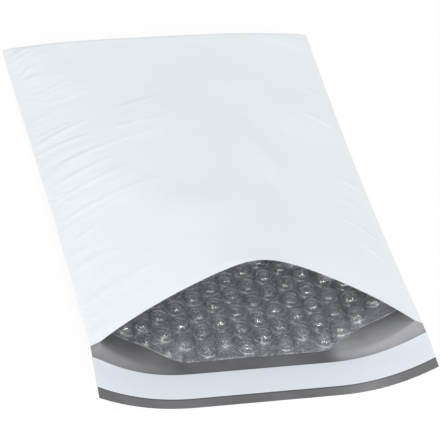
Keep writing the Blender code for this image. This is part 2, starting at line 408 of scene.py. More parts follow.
def plannedCreases():
    chance = random.Random(creasing["seed"])
    spread, bend = creasing["startSpread"], creasing["bend"]
    creases = []
    for fan in creaseFans:
        for start in fan["starts"]:
            degrees = fan["turn"] + chance.uniform(-creasing["turnSpread"], creasing["turnSpread"])
            turn = math.radians(degrees)
            inset = creasing["insetSpread"]
            creases.append(
                {
                    "x": fan["side"] * (halfWeb - creasing["inset"] - chance.random() * inset),
                    "y": (start + chance.uniform(-spread, spread)) * pocket,
                    "along": (-fan["side"] * math.cos(turn), math.sin(turn)),
                    "reach": fan["reach"] * chance.uniform(*creasing["reaches"]),
                    "height": fan["height"] * chance.uniform(*creasing["heights"]),
                    "width": creasing["width"] * chance.uniform(*creasing["widths"]),
                    "bend": chance.uniform(-bend, bend),
                }
            )
    return creases


creases = plannedCreases()


def creaseHeight(s, v):
    x, y = s * halfWeb, v * pocket
    leadIn = creasing["leadIn"]
    height = 0
    for crease in creases:
        dx, dy = x - crease["x"], y - crease["y"]
        alongX, alongY = crease["along"]
        share = (dx * alongX + dy * alongY) / crease["reach"]
        if -leadIn < share < 1:
            across = dy * alongX - dx * alongY + crease["bend"] * share * share
            if abs(across) < creasing["halfBreadth"] * crease["width"]:
                inWidths = across / crease["width"]
                hollow = creasing["hollowDepth"] * hill(inWidths, creasing["hollowAt"], 1)
                fade = min(1, (share + leadIn) / creasing["risesOver"])
                fade *= (1 - max(0, share)) ** creasing["fadePower"]
                height += crease["height"] * fade * (hill(inWidths, 0, 1) - hollow)
    return height


# A soft ridge from near the mouth towards the bottom fold, right of the middle. Its path is in
# metres from the middle and from the mouth.
softRidge = {
    "path": ((0.026, 0.035), (0.038, 0.105), (0.03, 0.16), (0.026, 0.235)),
    "width": 0.0075,
    "height": 0.0005,
    "fade": 0.03,
}


def ridgeHeight(x, y):
    path = softRidge["path"]
    for (startX, startY), (endX, endY) in zip(path, path[1:]):
        if startY <= y < endY:
            middle = startX + (endX - startX) * smooth((y - startY) / (endY - startY))
            fade = smooth(min(y - path[0][1], path[-1][1] - y) / softRidge["fade"])
            return softRidge["height"] * fade * hill(x, middle, softRidge["width"])
    return 0


# The front panel's soft unevenness: long waves, streaks that run with the creases, and a fine
# roughness, each in a slice of its own of the same noise
unevenness = {
    "waves": {"scales": (3.1, 5.3), "start": 0, "slice": 2.0, "height": 0.0011},
    "streaks": {"scales": (3.2, 15), "start": 5, "slice": 4.0, "height": 0.00012},
    "fine": {"scales": (26, 40), "start": 0, "slice": 7.0, "height": 0.00005},
    "streakTurn": -17,
    "streaksRight": 0.3,  # streaks are full on the left, and this share of it on the right
    "streaksFade": 1.6,
    "besideSeal": 0.06,  # shares of the panel over which the unevenness fades at its edges
    "beforeFold": 0.05,
    "afterMouth": 0.03,
    "atMouth": 0.25,
    "creasesBesideSeal": 0.02,
    "deepest": -0.00012,
}


def uneven(kind, x, y):
    wave = unevenness[kind]
    acrossScale, alongScale = wave["scales"]
    where = Vector((x * acrossScale + wave["start"], y * alongScale, wave["slice"]))
    return noise.noise(where) * wave["height"]


def frontDetail(s, v):
    # creases and soft unevenness of the front panel, none of it at the seals' outer edge
    turn = math.radians(unevenness["streakTurn"])
    inHalfWebs = v * 3  # the pocket is about three half webs long
    along = s * math.cos(turn) - inHalfWebs * math.sin(turn)
    across = s * math.sin(turn) + inHalfWebs * math.cos(turn)
    right = unevenness["streaksRight"]
    soft = uneven("waves", s, v)
    leftward = right + (1 - right) * smooth(-s * unevenness["streaksFade"])
    soft += uneven("streaks", along, across) * leftward
    soft += uneven("fine", s, v)
    soft += ridgeHeight(s * halfWeb, v * pocket)
    fromSide = 1 - abs(s)
    edge = min(1, fromSide / unevenness["besideSeal"]) * min(1, (1 - v) / unevenness["beforeFold"])
    edge *= min(1, v / unevenness["afterMouth"] + unevenness["atMouth"])
    creased = creaseHeight(s, v) * min(1, fromSide / unevenness["creasesBesideSeal"])
    return max(unevenness["deepest"], creased + soft * edge)


# The outer film: lip, back panel, bottom fold and front panel, welded along both sides. Its
# grey inside is painted paler, a painted sheen and painted light on flanks that render in shade:
# left and right beside the seals, most at the mouth's crease, and in a patch on the lip's outer
# band.
outerFilm = {
    "columns": 120,
    "rows": 64,
    "finerInFront": 4,
    "lipRows": 12,
    "closerAtCrease": (0.75, 0.5, 0.25),
    "foldAngles": (-67.5, -45, -22.5, 0, 22.5, 45, 67.5),
    "palerLeft": {"from": 0.45, "over": 0.2, "level": 0.18, "atCrease": 0.22},
    "palerRight": {"from": 0.41, "over": 0.13, "level": 0.5, "atCrease": 0.6},
    "palerCrease": {"out": -0.005, "width": 0.007},
    "palerBand": {"middle": 0.62, "width": 0.15, "level": 0.28},
    "palerInPocket": 0.022,
    "bandFrom": 0.018,
    "bandSharpness": 2,
}


def webColumns():
    inner = outerFilm["columns"]
    middleOfSeal = (1 + sealS) / 2
    inside = [sealS * (2 * i / inner - 1) for i in range(inner + 1)]
    return [-1.0, -middleOfSeal] + inside + [middleOfSeal, 1.0]


def steps(count, last=1.0):
    return [last * i / count for i in range(count + 1)]


def stitch(mesh, first, second):
    # joins two chains of points that run the same way but don't share their spacing
    i, j = 0, 0
    lastI, lastJ = len(first) - 1, len(second) - 1
    while i < lastI or j < lastJ:
        if j == lastJ or (i < lastI and first[i + 1].co.y <= second[j + 1].co.y):
            mesh.faces.new((first[i], first[i + 1], second[j]))
            i += 1
        else:
            mesh.faces.new((first[i], second[j + 1], second[j]))
            j += 1


def paintedSheenHere(s, y):
    # how far the grey inside is painted paler, as a painted sheen and painted light
    side = outerFilm["palerLeft"] if s < 0 else outerFilm["palerRight"]
    crease, band, bandFrom = (outerFilm[name] for name in ("palerCrease", "palerBand", "bandFrom"))
    out = mouthY - y
    beside = smooth((abs(s) - side["from"]) / side["over"])
    beside *= side["level"] + side["atCrease"] * hill(out, crease["out"], crease["width"])
    inside = 1 - smooth(-out / outerFilm["palerInPocket"])
    fromBand = (bandFrom - out) / (mailer["lipLength"] - bandFrom)
    beforeBand = smooth(fromBand * outerFilm["bandSharpness"])
    onBand = band["level"] * hill(s, band["middle"], band["width"])
    return beside * inside * beforeBand + onBand * (1 - beforeBand)


def makeOuterFilm(looks):
    mesh = bmesh.new()
    paintedSheenLayer = mesh.verts.layers.float.new("paintedSheen")
    across = webColumns()
    seal = 2  # columns in each side seal
    inside = across[seal:-seal]
    middle = inside[1:-1]
    backV = steps(outerFilm["rows"], foldV)
    frontV = steps(outerFilm["rows"] * outerFilm["finerInFront"], foldV)
    angles = [math.radians(angle) for angle in outerFilm["foldAngles"]]
    lipShares = reversed(steps(outerFilm["lipRows"])[1:])
    lipOuts = [mailer["lipLength"] * share for share in lipShares]
    lipOuts += [lipOuts[-1] * share for share in outerFilm["closerAtCrease"]]

    # outside, round from the lip's underside to the front panel
    underLip = [newRow(mesh, [raised(lip(s, out), -film) for s in across]) for out in lipOuts]
    under = [newRow(mesh, [raised(lower(s, v), -film) for s in across]) for v in backV]
    turn = [newRow(mesh, [fold(s, angle, -film) for s in across]) for angle in angles]
    over = [
        newRow(mesh, [raised(upper(s, v), film + frontDetail(s, v)) for s in across])
        for v in frontV
    ]
    bridgeAll(mesh, underLip + under + turn + over[::-1])

    # inside, which ends at the seals
    lipTop = [newRow(mesh, [lip(s, out) for s in across]) for out in lipOuts + [0]]
    floor = [lipTop[-1][seal:-seal]]
    floor += [newRow(mesh, [lower(s, v) for s in inside]) for v in backV[1:]]
    ends = [(row[0], row[-1]) for row in floor]
    roof = [newRow(mesh, [upper(s, v) for s in middle]) for v in backV]
    roof = [[left] + row + [right] for row, (left, right) in zip(roof, ends)]
    innerTurn = [newRow(mesh, [fold(s, angle, 0) for s in middle]) for angle in angles]
    innerTurn = [[ends[-1][0]] + row + [ends[-1][1]] for row in innerTurn]
    bridgeAll(mesh, lipTop, 1)
    bridgeAll(mesh, floor + innerTurn + roof[::-1], 1)

    # the edges that join the two
    # the mouth's cut edge takes the grey inside's material: partly the film's own grey layer,
    # partly painted shade for the dark line under the edge
    bridge(mesh, over[0], lipTop[-1][:seal] + roof[0] + lipTop[-1][-seal:], 1)
    bridge(mesh, underLip[0], lipTop[0])
    for side in (0, -1):
        bridge(mesh, [row[side] for row in underLip + under[:1]], [row[side] for row in lipTop])
        mesh.faces.new((under[0][side], over[0][side], lipTop[-1][side]))
        stitch(mesh, [row[side] for row in under], [row[side] for row in over])
        mesh.faces.new([under[-1][side]] + [row[side] for row in turn] + [over[-1][side]])
    for vert in mesh.verts:
        vert[paintedSheenLayer] = paintedSheenHere(vert.co.x / halfWidth(0), vert.co.y)
    return finishPiece("mailer_film", mesh, looks, "outer_film")


# The closure on the lip: a strip of adhesive under a release liner
closure = {
    "edgeInset": 0.0058,
    "width": 0.0166,
    "linerThickness": 0.00015,
    "adhesiveMargin": 0.002,
    "adhesiveThickness": 0.00015,
    "gap": 0.0002,
    "rows": 8,
}


def makeStrip(name, margin, height, thickness, look, node):
    mesh = bmesh.new()
    across = webColumns()
    near = mailer["lipLength"] - closure["edgeInset"] - margin
    far = mailer["lipLength"] - closure["edgeInset"] - closure["width"] + margin
    outs = [near + (far - near) * share for share in steps(closure["rows"])]
    high = height + thickness
    bottom = [newRow(mesh, [raised(lip(s, out), height) for s in across]) for out in outs]
    top = [newRow(mesh, [raised(lip(s, out), high) for s in across]) for out in outs]
    bridgeAll(mesh, bottom)
    bridgeAll(mesh, top)
    bridge(mesh, bottom[0], top[0])
    bridge(mesh, bottom[-1], top[-1])
    for side in (0, -1):
        bridge(mesh, [row[side] for row in bottom], [row[side] for row in top])
    return finishPiece(name, mesh, [look], node)


# The bubble lining: one web of clear film, folded like the outer film. A bubble's profile goes
# from its foot to its top, in shares of its radius and height.
lining = {
    "gap": 0.00035,
    "base": 0.0005,
    "mouthInset": 0.002,
    "cornerSetback": 0.0115,
    "setbackStart": 0.037,
    "setbackEnd": 0.066,
    "sideInset": 0.005,
    "pitch": 0.0126,
    "shift": -0.0035,
    "radius": 0.0055,
    "height": 0.0048,
    "leastHeight": 0.0008,
    "clearance": 0.0005,
    "border": 0.0009,
    "cutMargin": 0.0004,
    "crushed": (1.0, 0.88, 0.76, 0.64, 0.52),  # sizes that a bubble may shrink to at the edge
    "around": 24,
    "profile": ((0.955, 0.34), (0.87, 0.66), (0.72, 0.87), (0.48, 0.97), (0.22, 1.0)),
    "deepProfile": ((0.9, 0.6), (0.55, 0.95)),
    "seenDepth": 0.11,
    "columns": 48,
    "rows": 70,
    "seed": 11,
    # how a bubble may vary, in shares of its height
    "slack": 0.12,
    "tilt": 0.07,
    "leastTilt": 0.2,
    "crumple": 0.16,
    "crumpleScale": 420,
    "crumpleSlope": 1.2,
    "crumpleSpread": 50,
}

liningS = sealS - lining["sideInset"] / halfWeb
liningDeep = lining["gap"] + lining["base"]


def liningStart(s):
    fromMiddle, start, end = abs(s) * halfWeb, lining["setbackStart"], lining["setbackEnd"]
    turned = smooth((fromMiddle - start) / (end - start))
    return (lining["mouthInset"] + lining["cornerSetback"] * turned) / pocket


def linedRow(share, s):
    start = liningStart(s)
    return start + (foldV - start) * share


def liningColumns():
    return [liningS * (2 * i / lining["columns"] - 1) for i in range(lining["columns"] + 1)]


def directions():
    return [math.tau * i / lining["around"] for i in range(lining["around"])]


def circle(x, y, radius):
    return [(x + radius * math.cos(angle), y + radius * math.sin(angle)) for angle in directions()]


def onLining(x, y):
    spare = lining["cutMargin"]
    start = liningStart(x / halfWeb) * pocket
    return abs(x) < liningS * halfWeb - spare and start + spare < y < foldV * pocket - spare


def bubbles():
    # staggered columns of bubbles in the flat web, in metres from the middle and the mouth, with
    # their radius, which is less where the lining's edge has cut and crushed them
    pitch = lining["pitch"]
    spacing = pitch * math.sqrt(3) / 2
    firstRow = liningStart(0) * pocket + pitch / 2 + lining["border"]
    columns = int(halfWeb / spacing) + 1
    found = []
    for column in range(-columns, columns + 1):
        x = lining["shift"] + column * spacing
        y = firstRow + pitch / 2 * (column % 2 - 2)
        while y < pocket:
            for share in lining["crushed"]:
                radius = lining["radius"] * share
                if all(onLining(*point) for point in circle(x, y, radius)):
                    found.append((x, y, radius))
                    break
            y += pitch
    return found


def bubbleRoom(x, y):
    # the height that a bubble has here, between the two sides of the lining
    room = lining["height"]
    step = lining["pitch"] / 2
    for dx, dy in ((0, 0), (step, 0), (-step, 0), (0, step), (0, -step)):
        s, v = (x + dx) / halfWeb, min(foldV, (y + dy) / pocket)
        between = upper(s, v).z - lower(s, v).z - 2 * liningDeep
        room = min(room, (between - lining["clearance"]) / 2)
    return room


def basePoint(surface, side, x, y):
    # a point of the lining's flat base; side is 1 on the back panel and -1 on the front panel
    return raised(surface(x / halfWeb, y / pocket), side * liningDeep)


def inwardNormal(surface, side, x, y):
    step = lining["base"]
    alongX = basePoint(surface, side, x + step, y) - basePoint(surface, side, x - step, y)
    alongY = basePoint(surface, side, x, y + step) - basePoint(surface, side, x, y - step)
    return alongX.cross(alongY).normalized() * side


def addBubble(mesh, layers, surface, side, bubble, foot, chance):
    # a dome on its foot, crumpled, tilted and slack by chance
    x, y, radius = bubble
    height = bubbleRoom(x, y) * radius / lining["radius"]
    up = inwardNormal(surface, side, x, y)
    profile = lining["profile"] if y < lining["seenDepth"] else lining["deepProfile"]
    lean = chance.uniform(0, math.tau)
    tilt = lining["tilt"] * chance.uniform(lining["leastTilt"], 1)
    slack = 1 - lining["slack"] * chance.random()
    spread, scale = lining["crumpleSpread"], lining["crumpleScale"]
    offset = Vector((chance.uniform(0, spread), chance.uniform(0, spread), 0))
    riseLayer, acrossLayer, alongLayer, edgeLayer = layers
    rings = [foot]
    count = lining["around"]
    for vert, angle in zip(foot, directions()):
        vert[acrossLayer] = radius * math.cos(angle)
        vert[alongLayer] = radius * math.sin(angle)
    for share, rise in profile:
        ring = []
        reach = radius * share
        crumple = lining["crumple"] * min(1, rise * lining["crumpleSlope"])
        for angle in directions():
            dx, dy = reach * math.cos(angle), reach * math.sin(angle)
            rough = noise.noise(Vector((dx * scale, dy * scale, side)) + offset)
            level = rise * slack * (1 + crumple * rough)
            level += tilt * rise * share * math.cos(angle - lean)
            at = basePoint(surface, side, x + dx, y + dy) + up * height * min(level, 1.0)
            made = mesh.verts.new(at)
            made[riseLayer], made[acrossLayer], made[alongLayer] = rise, dx, dy
            made[edgeLayer] = y + dy - liningStart((x + dx) / halfWeb) * pocket
            ring.append(made)
        rings.append(ring)
    for outer, inner in zip(rings, rings[1:]):
        for i in range(count):
            j = (i + 1) % count
            mesh.faces.new((outer[i], outer[j], inner[j], inner[i]))
    top = mesh.verts.new(basePoint(surface, side, x, y) + up * height * min(1.0, slack))
    top[riseLayer] = 1.0
    top[edgeLayer] = y
    for i in range(count):
        mesh.faces.new((rings[-1][i], rings[-1][(i + 1) % count], top))


def borderOf(rows):
    # a panel's border in order, as its column, its row and its point
    columns = liningColumns()
    count, last = len(columns), lining["rows"]
    border = [(columns[i], 0, rows[0][i]) for i in range(count - 1)]
    border += [(columns[-1], step, rows[step][-1]) for step in range(last)]
    border += [(columns[i], last, rows[-1][i]) for i in range(count - 1, 0, -1)]
    border += [(columns[0], step, rows[step][0]) for step in range(last, 0, -1)]
    return border


def ringEdges(corners):
    return [(corners[i], corners[(i + 1) % len(corners)]) for i in range(len(corners))]


def addBubblePanel(mesh, layers, surface, side, rows, chance):
    # fills a panel inside its border rows with bubbles and the flat film between them
    inMillimetres = 1000.0
    insideOnly, sameWithin = 1, 1e-6  # the triangulation's kind of output and tolerance
    flat, verts = [], []
    for s, step, vert in borderOf(rows):
        along = linedRow(step / lining["rows"], s) * pocket
        flat.append(Vector((s * halfWeb, along)) * inMillimetres)
        verts.append(vert)
    edges = ringEdges(range(len(verts)))
    placed = []
    for x, y, radius in bubbles():
        if bubbleRoom(x, y) < lining["leastHeight"]:
            continue
        foot = []
        for footX, footY in circle(x, y, radius):
            foot.append(len(verts))
            flat.append(Vector((footX, footY)) * inMillimetres)
            made = mesh.verts.new(basePoint(surface, side, footX, footY))
            made[layers[-1]] = footY - liningStart(footX / halfWeb) * pocket
            verts.append(made)
        edges += ringEdges(foot)
        placed.append(((x, y, radius), foot))
    owner = {corner: index for index, (bubble, foot) in enumerate(placed) for corner in foot}
    result = delaunay_2d_cdt(flat, edges, [], insideOnly, sameWithin)
    faces, sources = result[2], result[3]
    for face in faces:
        corners = [sources[corner][0] for corner in face]
        owners = {owner.get(corner, -1) for corner in corners}
        if len(owners) > 1 or -1 in owners:
            mesh.faces.new([verts[corner] for corner in corners])
    for bubble, foot in placed:
        footVerts = [verts[corner] for corner in foot]
        addBubble(mesh, layers, surface, side, bubble, footVerts, chance)


def makeLining(look):
    mesh = bmesh.new()
    measures = ("bubbleRise", "acrossBubble", "alongBubble", "fromEdge")
    for name in measures:
        mesh.verts.layers.float.new(name)
    layers = [mesh.verts.layers.float[name] for name in measures]
    chance = random.Random(lining["seed"])
    gap = lining["gap"]
    across = liningColumns()
    ends = (across[0], across[-1])
    angles = [math.radians(angle) for angle in outerFilm["foldAngles"]]
    shares = steps(lining["rows"])

    def skinRow(surface, height, columns, share):
        return newRow(mesh, [raised(surface(s, linedRow(share, s)), height) for s in columns])

    def filledSkin(surface, height):
        return [skinRow(surface, height, across, share) for share in shares]

    def borderSkin(surface, height):
        sides = [skinRow(surface, height, ends, share) for share in shares[1:-1]]
        first, last = [skinRow(surface, height, across, share) for share in (0, 1)]
        return [first] + sides + [last]

    def foldRows(inset):
        return [newRow(mesh, [fold(s, angle, inset) for s in across]) for angle in angles]

    backFloor = filledSkin(lower, gap)
    backTurn = foldRows(gap)
    backRoof = filledSkin(upper, -gap)
    floor = borderSkin(lower, liningDeep)
    turn = foldRows(liningDeep)
    roof = borderSkin(upper, -liningDeep)
    for row in backFloor[1:] + backTurn + backRoof[1:] + floor[1:] + turn + roof[1:]:
        for vert in row:
            vert[layers[-1]] = lining["pitch"]  # well away from the cut edge
    bridgeAll(mesh, backFloor + backTurn + backRoof[::-1])
    bridgeAll(mesh, [floor[-1]] + turn + [roof[-1]])
    addBubblePanel(mesh, layers, lower, 1, floor, chance)
    addBubblePanel(mesh, layers, upper, -1, roof, chance)
    bridge(mesh, backFloor[0], floor[0])
    bridge(mesh, backRoof[0], roof[0])
    for side in (0, -1):
        outerEdge = [row[side] for row in backFloor + backTurn + backRoof[::-1]]
        innerEdge = [row[side] for row in floor + turn + roof[::-1]]
        bridge(mesh, outerEdge, innerEdge)
    return finishPiece("bubble_web", mesh, [look], "bubble_lining")


# Materials. A noise's scale is in waves to the metre, and a pair says where an effect starts and
# where it is full.

whiteFilm = {
    "plain": {"Roughness": 0.38, "Specular IOR Level": 0.4},
    "colour": (0.80, 0.835, 0.86, 1),
    "shade": (0.788, 0.825, 0.851, 1),
    "cloudScale": 11,
    "cloud": (0.35, 0.7),
    "crinkleTurn": -18,
    "crinkleScales": (60, 420, 300),
    "crinkle": 0.8,
    "moreBySeal": 2.4,
    "leftSeal": (-0.09, -0.045),
    "grainScale": 1400,
    "grain": 0.06,
    "reliefDepth": 0.00022,
    "relief": 0.35,
}


def makeWhiteFilm():
    look = Look("white_film", whiteFilm["plain"])
    where = look.place()
    cloudy = look.between(*whiteFilm["cloud"], look.noise(where, whiteFilm["cloudScale"]))
    look.set({"Base Color": look.mix(cloudy, whiteFilm["colour"], whiteFilm["shade"])})
    drawn = look.drawnOut(where, whiteFilm["crinkleTurn"], whiteFilm["crinkleScales"])
    crinkle = look.noise(drawn, 1.0, detail=3, roughness=0.55, distortion=0.6)
    grain = look.noise(where, whiteFilm["grainScale"])
    bySeal = 1 - look.between(*whiteFilm["leftSeal"], look.coordinate(where, "X"))
    height = crinkle * (whiteFilm["crinkle"] + whiteFilm["moreBySeal"] * bySeal)
    height = height + grain * whiteFilm["grain"]
    look.set({"Normal": look.bump(height, whiteFilm["reliefDepth"], whiteFilm["relief"])})
    return look


greyFilm = {
    "plain": {"Specular IOR Level": 0.5},
    "colour": (0.138, 0.138, 0.142, 1),
    "shade": (0.112, 0.112, 0.116, 1),
    "paintedSheen": (0.33, 0.33, 0.345, 1),
    "cloudScale": 38,
    "cloud": (0.35, 0.65),
    "streakTurn": 35,
    "streakScales": (30, 110, 60),
    "leastStreak": 0.1,
    "streak": 1.8,
    "roughness": 0.4,
    "roughnessSpread": 0.1,
    "roughnessScale": 60,
    "waveScale": 75,
    "grainScale": 1100,
    "grain": 0.05,
    "reliefDepth": 0.0012,
    "relief": 0.4,
}


def makeGreyFilm():
    look = Look("grey_film", greyFilm["plain"])
    where = look.place()
    cloudy = look.between(*greyFilm["cloud"], look.noise(where, greyFilm["cloudScale"]))
    plain = look.mix(cloudy, greyFilm["colour"], greyFilm["shade"])
    drawn = look.drawnOut(where, greyFilm["streakTurn"], greyFilm["streakScales"])
    streaks = greyFilm["leastStreak"] + greyFilm["streak"] * look.noise(drawn, 1.0)
    # the painted sheen and painted light, broken into streaks
    patchy = look.measured("paintedSheen") * streaks
    look.set({"Base Color": look.mix(patchy, plain, greyFilm["paintedSheen"])})
    uneven = look.noise(where, greyFilm["roughnessScale"])
    look.set({"Roughness": greyFilm["roughness"] + greyFilm["roughnessSpread"] * uneven})
    height = look.noise(where, greyFilm["waveScale"], detail=3)
    height = height + greyFilm["grain"] * look.noise(where, greyFilm["grainScale"])
    look.set({"Normal": look.bump(height, greyFilm["reliefDepth"], greyFilm["relief"])})
    return look


# Clear film over the grey: its colour is that of the film and what lies under it, and Alpha
# lets the grey show through. The haze is where it is wrinkled, clouded, scratched or bent, and
# it also holds painted glints and painted highlights. Deeper in the pocket the colour is painted
# brighter, as painted light under the front panel's shade, and near the mouth the haze is
# painted dimmer, as painted shade.
bubbleFilm = {
    "plain": {
        "Specular IOR Level": 0.8,
        "Coat Weight": 1.0,
        "Coat Roughness": 0.05,
        "Coat IOR": 2.3,
    },
    "web": (0.275, 0.295, 0.33, 1),
    "dome": (0.275, 0.295, 0.335, 1),
    # colours painted brighter deep in the pocket: painted light where the front panel shades the
    # lining
    "deepWeb": (0.60, 0.635, 0.69, 1),
    "deepDome": (0.60, 0.64, 0.70, 1),
    "hazeAndGlint": (0.80, 0.82, 0.85, 1),
    "deep": (0.002, 0.042),
    "cover": 0.75,
    "clearerDome": 0.5,
    "hazeAndGlintCover": 0.5,
    "footHighlightCover": 0.2,
    "paintedRimCover": 0.15,
    "rim": (0.6, 1.0),
    "rimBlend": 0.35,
    # pairs up a bubble's flank, in shares of its height
    "domed": (0.0, 0.35),
    "rippled": (0.0, 0.2),
    "foot": {"rises": (0.0, 0.1), "falls": (0.15, 0.45)},
    "footHighlightLine": {"rises": (0.0, 0.06), "falls": (0.1, 0.25), "hazeAndGlint": 0.15},
    # what clouds the film, and its relief
    # wrinkle lines: relief, and pale painted glints in the haze
    "wrinklesWithGlints": {"scale": 460, "width": 0.045, "hazeAndGlint": 1.1, "height": 0.35},
    "wrinklesBroken": {"scale": 380, "over": (0.40, 0.52)},
    "ripples": {"spacing": 0.0011, "height": 0.2, "from": (0.002, 0.0035)},
    "wander": {"scale": 300, "level": 0.6},
    "clouds": {"scale": 240, "over": (0.5, 0.8), "hazeAndGlint": 0.4},
    "scratches": {"scale": 1000, "over": (0.55, 0.75), "hazeAndGlint": 0.3},
    "paintedShadeNearMouth": 0.4,
    "raggedScale": 170,
    "cutEdge": {"over": (0.0002, 0.0013), "ragged": (0.5, 0.6), "hazeAndGlint": 0.35},
    "paleTowardsRight": {"over": (0.015, 0.055), "hazeAndGlint": 0.24},
    "roughness": 0.08,
    "roughnessSpread": 0.16,
    "roughnessScale": 500,
    "crinkleTurn": -8,
    "crinkleScales": (360, 1000, 700),
    "crinkle": 0.9,
    "reliefDepth": 0.0021,
    "relief": 1.0,
}

# Where the web bends up on the left, from a point at its edge. Beyond the bend it is clouded.
leftBend = {
    "at": (-0.037, -0.122),
    "lean": 0.15,
    "length": 0.034,
    "width": 0.0012,
    "hazeAndGlint": 0.8,
    "ragged": (0.35, 0.6),
    "cloud": 0.25,
    "cloudFrom": (-0.02, -0.002),
    "cloudTo": (-0.001, 0.001),
}


def wrinkleAndGlintLines(look, where):
    # thin lines where a noise passes its middle, broken up by another noise; they feed the relief,
    # and the haze paints them pale as painted glints
    wrinklesWithGlints, broken = bubbleFilm["wrinklesWithGlints"], bubbleFilm["wrinklesBroken"]
    middle = 0.5
    passing = look.noise(where, wrinklesWithGlints["scale"], roughness=0.55, distortion=1.2) - middle
    line = 1 - look.between(0.0, wrinklesWithGlints["width"], look.maths("ABSOLUTE", passing))
    return line * look.between(*broken["over"], look.noise(where, broken["scale"]))


def domeRipples(look, where, rise):
    # rings round the flank of each dome
    across, along = look.measured("acrossBubble"), look.measured("alongBubble")
    reach = (across * across + along * along) ** 0.5
    ripples, wander = bubbleFilm["ripples"], bubbleFilm["wander"]
    shift = look.noise(where, wander["scale"]) * wander["level"]
    rings = look.maths("SINE", (reach / ripples["spacing"] + shift) * math.tau)
    rings = rings * look.between(*ripples["from"], reach)
    return rings * look.between(*bubbleFilm["rippled"], rise)


def upFlank(look, rise, band):
    # a ring round each bubble between two heights
    return look.between(*band["rises"], rise) * (1 - look.between(*band["falls"], rise))


def bentFilm(look, where, ragged):
    bendX, bendY = leftBend["at"]
    deeper = look.coordinate(where, "Y") - bendY
    beside = look.coordinate(where, "X") - bendX - deeper * leftBend["lean"]
    line = 1 - look.between(0.0, leftBend["width"], look.maths("ABSOLUTE", beside))
    line = line * leftBend["hazeAndGlint"] * look.between(*leftBend["ragged"], ragged)
    beyond = look.between(*leftBend["cloudFrom"], beside)
    beyond = beyond * (1 - look.between(*leftBend["cloudTo"], beside))
    nearEdge = 1 - look.between(0.0, leftBend["length"], deeper)
    return (line + beyond * leftBend["cloud"]) * nearEdge


def hazeAndGlintsOf(look, where, rise, fromEdge, deep, wrinklesWithGlints):
    clouds, scratches = bubbleFilm["clouds"], bubbleFilm["scratches"]
    cut, right = bubbleFilm["cutEdge"], bubbleFilm["paleTowardsRight"]
    clouded = look.noise(where, clouds["scale"], detail=4, roughness=0.7, distortion=0.8)
    scratched = look.noise(where, scratches["scale"], roughness=0.6, distortion=2.0)
    hazeAndGlint = look.between(*clouds["over"], clouded) * clouds["hazeAndGlint"]
    hazeAndGlint = hazeAndGlint + look.between(*scratches["over"], scratched) * scratches["hazeAndGlint"]
    # near the mouth the haze is painted dimmer, as painted shade
    shadedNearMouth = bubbleFilm["paintedShadeNearMouth"]
    hazeAndGlint = hazeAndGlint * ((1 - shadedNearMouth) + shadedNearMouth * deep) + wrinklesWithGlints * bubbleFilm["wrinklesWithGlints"]["hazeAndGlint"]
    # the lining is made paler towards the right
    hazeAndGlint = hazeAndGlint + look.between(*right["over"], look.coordinate(where, "X")) * right["hazeAndGlint"]
    ragged = look.noise(where, bubbleFilm["raggedScale"])
    # along the cut edge the pale is partly the crushed film's haze and partly painted glints
    hazeAndGlintsAtCut = (1 - look.between(*cut["over"], fromEdge)) * look.between(*cut["ragged"], ragged)
    hazeAndGlint = hazeAndGlint + hazeAndGlintsAtCut * cut["hazeAndGlint"] + bentFilm(look, where, ragged)
    # a pale ring at each bubble's foot, a painted highlight for the dome's light rim
    footHighlightLine = bubbleFilm["footHighlightLine"]
    hazeAndGlint = hazeAndGlint + upFlank(look, rise, footHighlightLine) * footHighlightLine["hazeAndGlint"]
    return look.maths("MINIMUM", hazeAndGlint, 1.0)


def makeBubbleFilm():
    look = Look("bubble_film", bubbleFilm["plain"])
    where = look.place()
    rise, fromEdge = look.measured("bubbleRise"), look.measured("fromEdge")
    domed = look.between(*bubbleFilm["domed"], rise)
    deep = look.between(*bubbleFilm["deep"], fromEdge)
    wrinklesWithGlints = wrinkleAndGlintLines(look, where)
    hazeAndGlint = hazeAndGlintsOf(look, where, rise, fromEdge, deep, wrinklesWithGlints)

    # the web and domes are painted brighter deeper in the pocket, as painted light under the front
    # panel's shade
    near = look.mix(domed, bubbleFilm["web"], bubbleFilm["dome"])
    far = look.mix(domed, bubbleFilm["deepWeb"], bubbleFilm["deepDome"])
    look.set({"Base Color": look.mix(hazeAndGlint, look.mix(deep, near, far), bubbleFilm["hazeAndGlint"])})

    # the film is painted more opaque and paler at grazing angles, a painted rim reflection
    grazing = look.node("ShaderNodeLayerWeight", {}, {"Blend": bubbleFilm["rimBlend"]}, "Facing")
    cover = bubbleFilm["cover"] - domed * bubbleFilm["clearerDome"] + hazeAndGlint * bubbleFilm["hazeAndGlintCover"]
    # a more opaque, paler ring at each bubble's foot, a painted highlight
    cover = cover + upFlank(look, rise, bubbleFilm["foot"]) * bubbleFilm["footHighlightCover"]
    cover = cover + look.between(*bubbleFilm["rim"], grazing) * bubbleFilm["paintedRimCover"]
    look.set({"Alpha": look.maths("MINIMUM", cover, 1.0)})

    uneven = look.noise(where, bubbleFilm["roughnessScale"])
    look.set({"Roughness": bubbleFilm["roughness"] + bubbleFilm["roughnessSpread"] * uneven})
    drawn = look.drawnOut(where, bubbleFilm["crinkleTurn"], bubbleFilm["crinkleScales"])
    height = look.noise(drawn, 1.0, roughness=0.55, distortion=1.5) * bubbleFilm["crinkle"]
    height = height + wrinklesWithGlints * bubbleFilm["wrinklesWithGlints"]["height"]
    height = height + domeRipples(look, where, rise) * bubbleFilm["ripples"]["height"]
    look.set({"Normal": look.bump(height, bubbleFilm["reliefDepth"], bubbleFilm["relief"])})
    return look


linerFilm = {
    "plain": {"Roughness": 0.36, "Specular IOR Level": 0.45},
    "colour": (0.65, 0.695, 0.743, 1),
    "shade": (0.64, 0.684, 0.73, 1),
    "cloudScale": 45,
    "grainScale": 900,
    "reliefDepth": 0.0001,
    "relief": 0.2,
}


